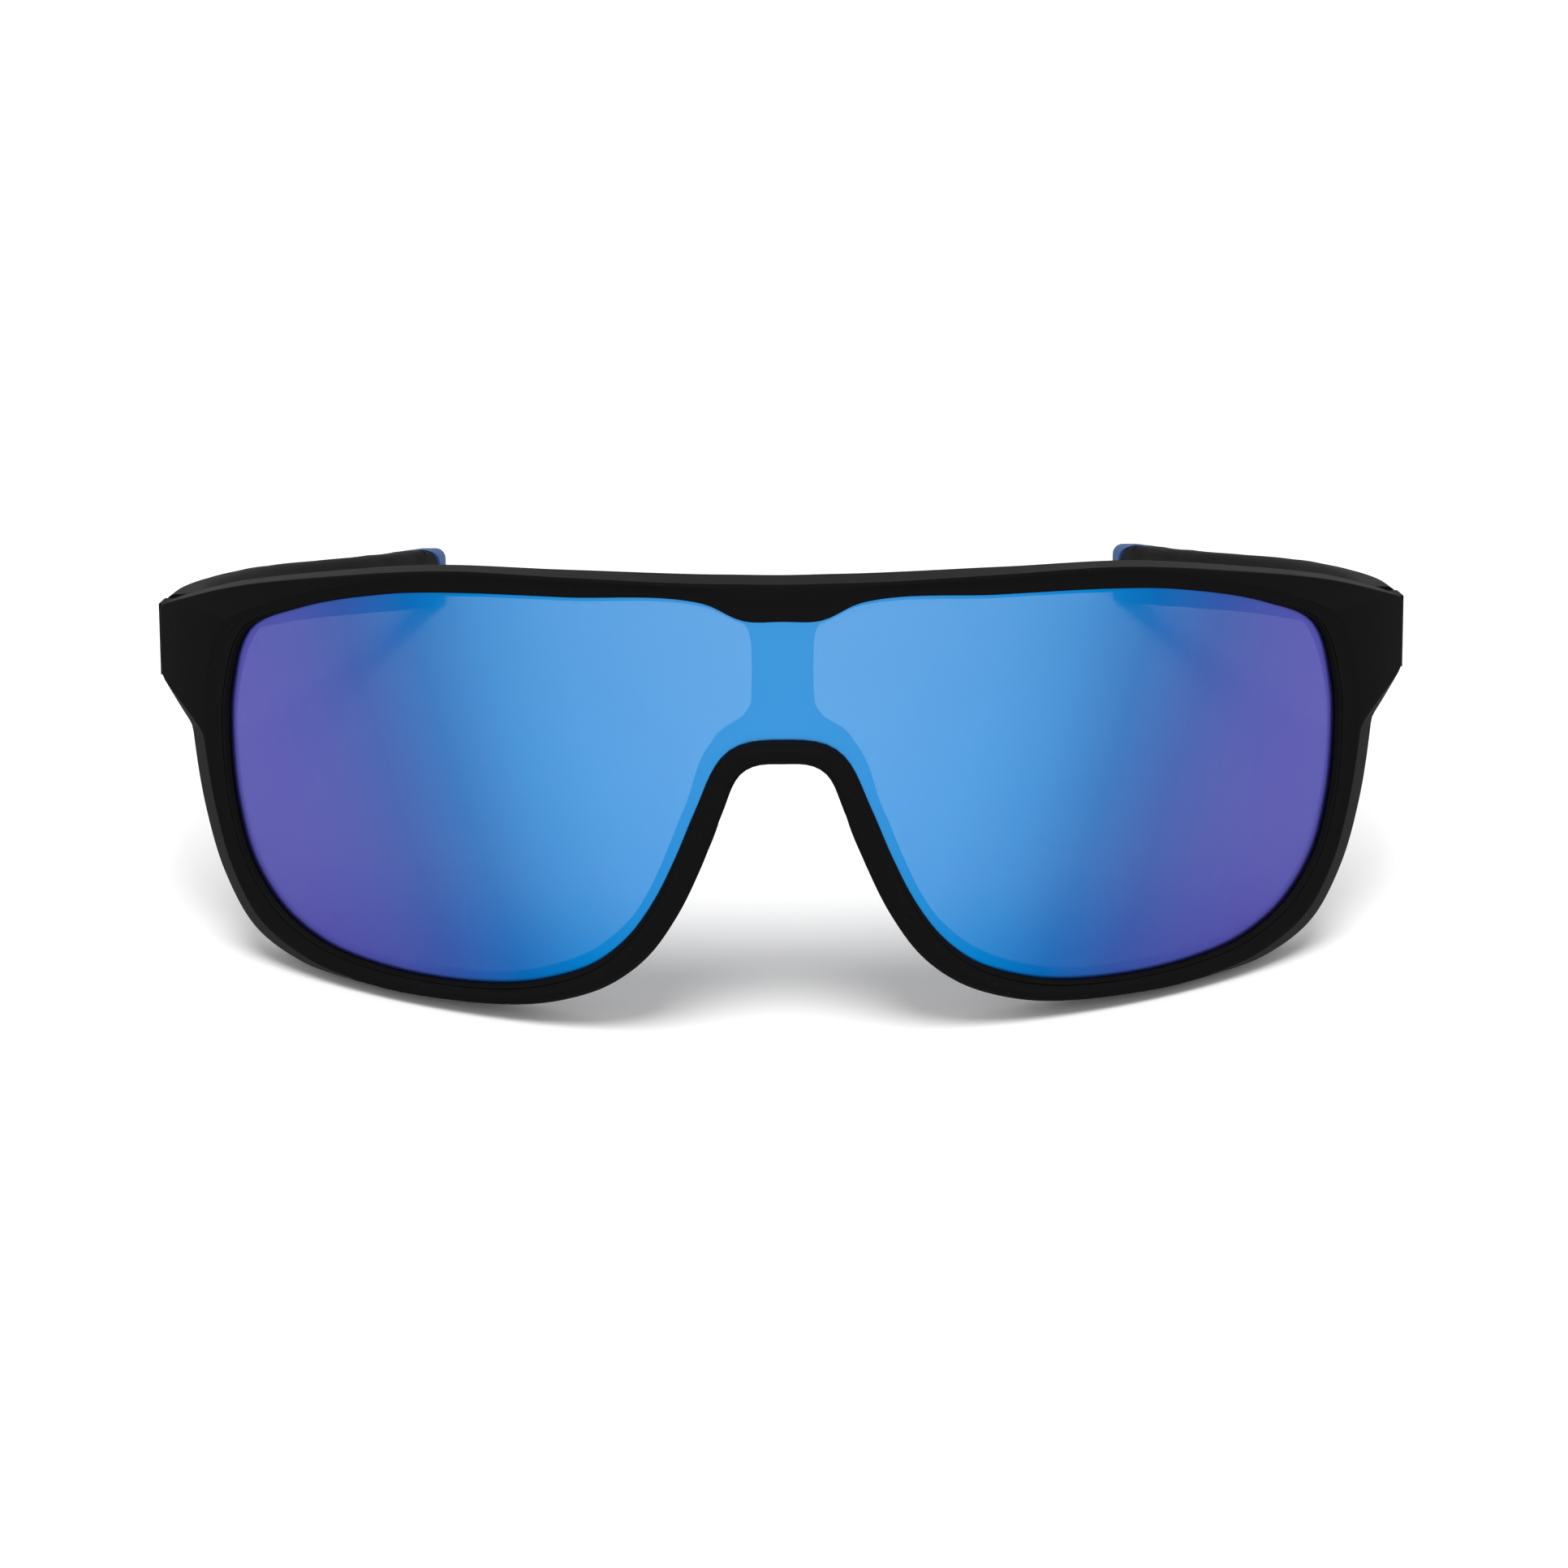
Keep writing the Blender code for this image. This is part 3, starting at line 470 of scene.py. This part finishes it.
def add(made, kind, **settings):
    """A new node of a material, with its properties set."""
    node = made.node_tree.nodes.new(kind)
    for name, value in settings.items():
        setattr(node, name, value)
    return node


def link(made, source, target):
    """Joins two sockets."""
    made.node_tree.links.new(source, target)


def ramp(made, stops, factor):
    """A colour ramp over (place, colour) stops."""
    node = add(made, "ShaderNodeValToRGB")
    elements = node.color_ramp.elements
    for place, colour in stops[1:-1]:
        elements.new(place).color = (*colour, 1.0)
    for end in (0, -1):
        place, colour = stops[end]
        elements[end].position = place
        elements[end].color = (*colour, 1.0)
    link(made, factor, node.inputs["Fac"])
    return node.outputs["Color"]


def noise(made, scale, detail=3.0):
    """Noise in the object's own space."""
    place = add(made, "ShaderNodeTexCoord")
    node = add(made, "ShaderNodeTexNoise")
    node.inputs["Scale"].default_value = scale
    node.inputs["Detail"].default_value = detail
    link(made, place.outputs["Object"], node.inputs["Vector"])
    return node.outputs["Fac"]


def bump(made, shader_node, height, strength, distance):
    """Raises and sinks a surface by a height between 0 and 1."""
    node = add(made, "ShaderNodeBump")
    node.inputs["Strength"].default_value = strength
    node.inputs["Distance"].default_value = distance
    link(made, height, node.inputs["Height"])
    link(made, node.outputs["Normal"], shader_node.inputs["Normal"])


def linear(red, green, blue):
    """A screen colour, 0 to 255, as light."""
    return tuple((c / 255 / 12.92) if c < 11 else ((c / 255 + 0.055) / 1.055) ** 2.4
                 for c in (red, green, blue))


def soft_touch(name, dark, light, roughness, specular):
    """Moulded plastic with a fine matt grain and a few specks of dust."""
    made, node = shader(name, dark, roughness, specular=specular)
    dust = noise(made, DUST_SCALE, 1.0)
    colour = ramp(made, ((0.0, dark), (DUST_FROM, dark), (DUST_TO, light), (1.0, light)), dust)
    link(made, colour, node.inputs["Base Color"])
    bump(made, node, noise(made, GRAIN_SCALE), GRAIN_STRENGTH, GRAIN_HEIGHT)
    return made


def mirror_coat():
    """The blue coat; its turn to violet towards the sides is a painted reflection, set by place. The
    boundary leans out with height.
    """
    made, node = shader("mirror coat with painted violet sides", (0.1, 0.3, 0.7), LENS_ROUGHNESS, metallic=1.0)
    place = add(made, "ShaderNodeTexCoord")
    split = add(made, "ShaderNodeSeparateXYZ")
    link(made, place.outputs["Object"], split.inputs["Vector"])
    out = add(made, "ShaderNodeMath", operation="ABSOLUTE")
    link(made, split.outputs["X"], out.inputs[0])
    lean = add(made, "ShaderNodeMath", operation="MULTIPLY_ADD")
    link(made, split.outputs["Z"], lean.inputs[0])
    lean.inputs[1].default_value = -COAT_LEAN
    lean.inputs[2].default_value = COAT_LEAN * COAT_LEVEL
    total = add(made, "ShaderNodeMath", operation="ADD")
    link(made, out.outputs["Value"], total.inputs[0])
    link(made, lean.outputs["Value"], total.inputs[1])
    share = add(made, "ShaderNodeMath", operation="MULTIPLY")
    link(made, total.outputs["Value"], share.inputs[0])
    share.inputs[1].default_value = 1 / COAT_REACH
    # The steps from blue to violet paint the coat's change of colour with the viewing angle, by place
    # on the lens
    colours = []
    covers = []
    for out_mm, shown, cover in COAT_COLOURS_AND_PAINTED_SHIFT:
        through = (1 - cover) * (1 - BACK_COVER)
        glow = tuple((c / WHITE - through) / cover for c in linear(*shown))
        colours.append((out_mm * MM / COAT_REACH, glow))
        covers.append((out_mm * MM / COAT_REACH, (cover,) * 3))
    link(made, ramp(made, colours, share.outputs["Value"]), node.inputs["Base Color"])
    link(made, ramp(made, covers, share.outputs["Value"]), node.inputs["Alpha"])
    bump(made, node, noise(made, COAT_WAVE_SCALE, 2.0), COAT_WAVE_STRENGTH, COAT_WAVE_HEIGHT)
    return made


def lens_back():
    """The smoky inner side of the lens."""
    made, node = shader("lens back", (0.02, 0.016, 0.014), 0.12, specular=0.4)
    node.inputs["Alpha"].default_value = BACK_COVER
    cloud = noise(made, BACK_CLOUD_SCALE)
    tint = ramp(made, ((0.3, (0.024, 0.018, 0.014)), (0.7, (0.016, 0.014, 0.014))), cloud)
    link(made, tint, node.inputs["Base Color"])
    return made


def frame_plastic():
    """The matt black plastic of the front and the arms."""
    return soft_touch("frame plastic", (0.0045, 0.0045, 0.0048), SPECK, 0.6, 0.015)


def highlight_edge():
    """The same plastic painted lighter along the wide bevel: a painted highlight for the light the
    bevel catches, with a little more gloss.
    """
    return soft_touch("painted highlight edge", (0.013, 0.013, 0.0133), HIGHLIGHT_SPECK, 0.55, 0.03)


def pad_rubber():
    """The soft black rubber of the nose pads."""
    return soft_touch("pad rubber", (0.003, 0.003, 0.0032), (0.03, 0.03, 0.03), 0.75, 0.1)


def tip_rubber():
    """The blue rubber of the ear tips."""
    made, node = shader("tip rubber", (0.03, 0.08, 0.2), 0.6, specular=0.08)
    cloud = noise(made, TIP_CLOUD_SCALE)
    tint = ramp(made, ((0.3, (0.028, 0.07, 0.18)), (0.7, (0.034, 0.085, 0.215))), cloud)
    link(made, tint, node.inputs["Base Color"])
    bump(made, node, noise(made, TIP_GRAIN_SCALE), TIP_GRAIN_STRENGTH, GRAIN_HEIGHT)
    return made


def brushed_steel():
    """Steel with a fine uneven grain."""
    made, node = shader("brushed steel", (0.68, 0.68, 0.69), 0.32, metallic=1.0)
    grain = noise(made, STEEL_GRAIN_SCALE, 5.0)
    tint = ramp(made, ((0.3, (0.62, 0.62, 0.63)), (0.7, (0.74, 0.74, 0.75))), grain)
    link(made, tint, node.inputs["Base Color"])
    bump(made, node, grain, STEEL_GRAIN_STRENGTH, STEEL_GRAIN_HEIGHT)
    return made


# ---- the front ----

def rim_section(edge, hole, lip, flare, bevel, bevel_drop, wall, seam, slope, drop):
    """The rim's section at one station, from the lens out over its face, round the back and in."""
    span = np.linalg.norm(edge - hole)
    direction = (edge - hole) / span
    slope = min(slope, span - bevel - SEAM_OUTER)
    groove_back = -LENS_THICKNESS - FIT_GAP
    section = []

    def front(away, out):
        """Adds a point at a distance from the opening and a height over the lens."""
        section.append(wrap(*(hole + direction * away), out))

    front(0.0, FIT_GAP)
    for away, share in WALL_PROFILE:
        front(away, wall * share)
    for away, share, rise in SEAM_PROFILE:
        front(away, wall - seam * share + rise)
    foot = wall + SEAM_LIP
    for step in range(1, SLOPE_STEPS + 1):
        t = step / SLOPE_STEPS
        front(SEAM_OUTER + slope * t, foot + (FRONT_FACE - foot) * t**SLOPE_POWER)
    for share, fall in BEVEL_PROFILE:
        front(span - bevel * (1 - share), FRONT_FACE - bevel_drop * fall)
    rear_outer = straight_back(*edge, FRONT_FACE - bevel_drop, BACK_FACE)
    window = hole - direction * lip
    rear_inner = straight_back(*(window + direction * flare), groove_back, BACK_FACE)
    start = section[-1]
    for t in OUTER_WALL_SHARES:
        section.append(start.lerp(rear_outer, t) - Vector((0, 0, drop * t)))
    for t in BACK_SHARES:
        section.append(rear_outer.lerp(rear_inner, t) - Vector((0, 0, drop * (1 - t))))
    inner_start = wrap(*window, groove_back)
    for t in INNER_WALL_SHARES:
        section.append(inner_start.lerp(rear_inner, t))
    section.append(inner_start)
    for away, out in ((GROOVE_DEPTH, groove_back), (GROOVE_DEPTH, FIT_GAP)):
        section.append(wrap(*(hole + direction * away), out))
    return section


def post():
    """The post behind the lens, from the nose arch up to the brow."""
    heights = np.linspace(POST_HALF_WIDTHS[0][0], POST_HALF_WIDTHS[-1][0], POST_RINGS)
    rings = []
    for up, half in track(POST_HALF_WIDTHS, heights):
        across = np.linspace(-half, half, POST_POINTS)
        front = [wrap(u, up, POST_FRONT) for u in across]
        back = [wrap(u, up, BACK_FACE) for u in across[::-1]]
        rings.append(front + back)
    return loft("post", rings)


def end_piece(side):
    """The block behind the rim's outer corner that carries the hinge."""
    corners = ((END_PIECE_INNER, END_PIECE_FOOT), (END_PIECE_OUTER, END_PIECE_FOOT),
               (END_PIECE_OUTER, END_PIECE_TOP), (END_PIECE_INNER, END_PIECE_TOP))
    rings = []
    for y in (BUTT - END_PIECE_LENGTH, BUTT):
        rings.append([mirrored((x, y, z), side) for x, z in corners])
    return loft("end piece", rings)


def front_frame():
    """The one-piece black front: the rim, the post behind the lens and the two end pieces."""
    edge, hole, rows = rim_stations()
    sections = [rim_section(e, h, *row) for e, h, row in zip(edge, hole, rows)]
    rim = loft("rim", sections, closed=True, smooth_angle=RIM_CREASE)
    around = len(sections[0])
    # The faces of a wide bevel take the second material, a lighter copy of the plastic that paints a
    # highlight along the edge
    for face in rim.data.polygons:
        station, spot = divmod(face.index, around)
        bevel = rows[station][2]
        face.material_index = int(bevel > HIGHLIGHT_BEVEL and BEVEL_START <= spot < BEVEL_END)
    made = joined("front_frame_look", [rim, post(), end_piece(1), end_piece(-1)])
    made.data.materials.append(frame_plastic())
    made.data.materials.append(highlight_edge())
    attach(made, "front")
    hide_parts("front_frame")


def shield_lens():
    """A sheet with the opening's outline and a margin, cut into cells and curved to the torus."""
    edge, hole, _ = rim_stations()
    bm = bmesh.new()
    outline = []
    for e, h in zip(edge, hole):
        place = h + (e - h) / np.linalg.norm(e - h) * LENS_TUCK
        outline.append(bm.verts.new((*place, 0.0)))
    bm.faces.new(outline)
    for axis, reach in zip((Vector((1, 0, 0)), Vector((0, 1, 0))), SHEET_REACH):
        for place in np.arange(-reach, reach + LENS_CELL / 2, LENS_CELL):
            everything = list(bm.verts) + list(bm.edges) + list(bm.faces)
            bmesh.ops.bisect_plane(bm, geom=everything, plane_co=axis * place, plane_no=axis)
    back = bmesh.ops.extrude_face_region(bm, geom=list(bm.faces))
    for item in back["geom"]:
        if isinstance(item, bmesh.types.BMVert):
            item.co.z = -LENS_THICKNESS
    for face in bm.faces:
        face.material_index = 0 if all(v.co.z == 0.0 for v in face.verts) else 1
    for vert in bm.verts:
        vert.co = stand(wrap(*vert.co))
    bmesh.ops.recalc_face_normals(bm, faces=bm.faces)
    made = finished("shield_lens_look", bm, LENS_CREASE)
    made.data.materials.append(mirror_coat())
    made.data.materials.append(lens_back())
    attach(made, "front")
    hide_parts("shield_lens")


# ---- the arms ----

def arm_ring(row, inner, outer, margin=0.0):
    """A rounded section across the arm, between two depths from its inner face."""
    back, out, top, height, thick = row
    middle = Vector((out - thick / 2 + (inner + outer) / 2, back, top - height / 2))
    half_height = height / 2 - margin
    half_width = (outer - inner) / 2
    radius = min(CORNER_RADIUS, half_width * CORNER_SHARE)
    ring = []
    for quarter, (sx, sz) in enumerate(((1, 1), (-1, 1), (-1, -1), (1, -1))):
        for step in range(CORNER_STEPS):
            turn = pi / 2 * (quarter + step / (CORNER_STEPS - 1))
            x = sx * (half_width - radius) + radius * cos(turn)
            z = sz * (half_height - radius) + radius * sin(turn)
            ring.append(middle + Vector((x, 0, z)))
    return ring


def arm_loft(name, rings, side):
    """A loft over rings of the left arm, on the side asked for."""
    return loft(name, [[mirrored(point, side) for point in ring] for ring in rings])


def temple_arm(word, side):
    """The black arm with the tongue that runs into the ear tip."""
    places = np.linspace(ARM_STATIONS[0][0], TIP_START, ARM_RINGS)
    rings = [arm_ring(row, 0.0, row[4]) for row in track(ARM_STATIONS, places)]
    for back, margin in TONGUE_NOSE:
        row = track(ARM_STATIONS, [back])[0]
        rings.append(arm_ring(row, TONGUE_SETBACK, TONGUE_THICKNESS, margin))
    made = arm_loft(f"temple_arm_{word}_look", rings, side)
    made.data.materials.append(frame_plastic())
    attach(made, "arm_" + word)
    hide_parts("temple_arm_" + word)


def ear_tip(word, side):
    """The blue end, cut away on its inner side round the tongue."""
    rings = []
    ends = [(TIP_START + JOINT_GAP, 0.0)] + [(TIP_END + back, margin) for back, margin in TIP_NOSE]
    for back, margin in ends:
        row = track(ARM_STATIONS, [back])[0]
        inset = margin * TIP_INSET_SHARE
        rings.append(arm_ring(row, inset, row[4] - inset, margin))
    made = arm_loft(f"ear_tip_{word}_look", rings, side)
    pocket = []
    for back, margin in ((TIP_START - POCKET_LEAD, 0.0), *TONGUE_NOSE[1:]):
        row = track(ARM_STATIONS, [back + TONGUE_GAP])[0]
        gap = OPEN_GAP if margin < OPEN_MARGIN else TONGUE_GAP
        pocket.append(arm_ring(row, -POCKET_REACH, TONGUE_THICKNESS + TONGUE_GAP, margin - gap))
    cut(made, arm_loft("pocket", pocket, side))
    made.data.materials.append(tip_rubber())
    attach(made, "arm_" + word)
    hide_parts("ear_tip_" + word)


# ---- pads and hinges ----

def nose_pad(word, side):
    """A smooth soft pad with fine ribs across it."""
    places = np.array(PAD_STATIONS)[:, :2]
    lengths = np.concatenate(([0.0], np.cumsum(np.linalg.norm(np.diff(places, axis=0), axis=1))))
    table = [(length, *row) for length, row in zip(lengths, PAD_STATIONS)]
    rows = track(table, np.linspace(0.0, lengths[-1], PAD_RINGS))
    headings = np.gradient(np.array(rows)[:, 1:3], axis=0)
    rings = []
    for (length, along, up, half, thick), heading in zip(rows, headings):
        across = np.array((-heading[1], heading[0])) / np.linalg.norm(heading)
        rib = PAD_RIB_DEPTH * (1 - cos(2 * pi * length / PAD_RIB_SPACING)) / 2
        ring = []
        for k in range(PAD_SIDES):
            turn = 2 * pi * k / PAD_SIDES
            share = 1 - rib * max(0.0, -sin(turn)) / thick
            offset = across * half * share * cos(turn)
            depth = PAD_FRONT - thick / 2 + thick / 2 * share * sin(turn)
            ring.append(mirrored(wrap(along + offset[0], up + offset[1], depth), side))
        rings.append(ring)
    made = loft(f"nose_pad_{word}_look", rings)
    made.data.materials.append(pad_rubber())
    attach(made, "front")
    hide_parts("nose_pad_" + word)


def dress_steel():
    """The hinge leaves and screws keep their CAD shapes, with softened edges and brushed steel."""
    steel = brushed_steel()
    for made in bpy.data.objects:
        if made.type == "MESH" and ("hinge" in made.name or "screw" in made.name):
            edge = made.modifiers.new("soft edge", "BEVEL")
            edge.width = STEEL_BEVEL
            edge.segments = STEEL_SEGMENTS
            edge.limit_method = "ANGLE"
            edge.angle_limit = radians(STEEL_CREASE)
            made.data.materials.clear()
            made.data.materials.append(steel)


# ---- the studio ----

def paper_floor():
    """A sheet of white paper, much larger than the glasses."""
    mesh = bpy.data.meshes.new("floor")
    bm = bmesh.new()
    bmesh.ops.create_grid(bm, x_segments=1, y_segments=1, size=FLOOR_HALF)
    bm.to_mesh(mesh)
    bm.free()
    floor = bpy.data.objects.new("floor", mesh)
    bpy.context.collection.objects.link(floor)
    paper, _ = shader("paper", (FLOOR_WHITE,) * 3, FLOOR_ROUGHNESS, specular=0.0)
    mesh.materials.append(paper)


def key_light():
    """One wide soft light, high up in front."""
    lamp = bpy.data.lights.new("key", "SUN")
    lamp.energy = KEY_STRENGTH
    lamp.angle = KEY_SPREAD
    light = bpy.data.objects.new("key", lamp)
    light.rotation_euler = (pi / 2 - KEY_RISE, 0.0, 0.0)
    light.location = KEY_PLACE
    bpy.context.collection.objects.link(light)


def sky():
    """White walls all round and a dimmer ceiling."""
    world = bpy.data.worlds.new("studio")
    world.use_nodes = True
    place = add(world, "ShaderNodeTexCoord")
    split = add(world, "ShaderNodeSeparateXYZ")
    link(world, place.outputs["Generated"], split.inputs["Vector"])
    walls = (1.0, 1.0, 1.0)
    ceiling = (CEILING,) * 3
    colour = ramp(world, ((WALLS_END, walls), (CEILING_START, ceiling)), split.outputs["Z"])
    background = world.node_tree.nodes["Background"]
    link(world, colour, background.inputs["Color"])
    background.inputs["Strength"].default_value = WHITE
    return world


def camera():
    """A camera in front of the glasses and a little above them."""
    data = bpy.data.cameras.new("camera")
    data.lens = CAMERA_LENS
    data.sensor_width = SENSOR_WIDTH
    data.clip_start = CLIP_START
    made = bpy.data.objects.new("camera", data)
    level = Vector((cos(CAMERA_YAW), sin(CAMERA_YAW), 0.0))
    backward = Vector((sin(CAMERA_YAW) * cos(CAMERA_RISE), -cos(CAMERA_YAW) * cos(CAMERA_RISE),
                       sin(CAMERA_RISE)))
    upward = backward.cross(level)
    right = level * cos(CAMERA_ROLL) - upward * sin(CAMERA_ROLL)
    upward = level * sin(CAMERA_ROLL) + upward * cos(CAMERA_ROLL)
    turn = Matrix((right, upward, backward)).transposed()
    turn = STANCE.to_3x3() @ turn
    place = stand(CAMERA_TARGET + backward * CAMERA_DISTANCE)
    made.matrix_world = Matrix.Translation(place) @ turn.to_4x4()
    bpy.context.collection.objects.link(made)
    bpy.context.scene.camera = made


front_frame()
shield_lens()
for word, side in SIDES.items():
    temple_arm(word, side)
    ear_tip(word, side)
    nose_pad(word, side)
dress_steel()
paper_floor()
key_light()
bpy.context.scene.world = sky()
bpy.context.scene.view_settings.view_transform = "Standard"
camera()
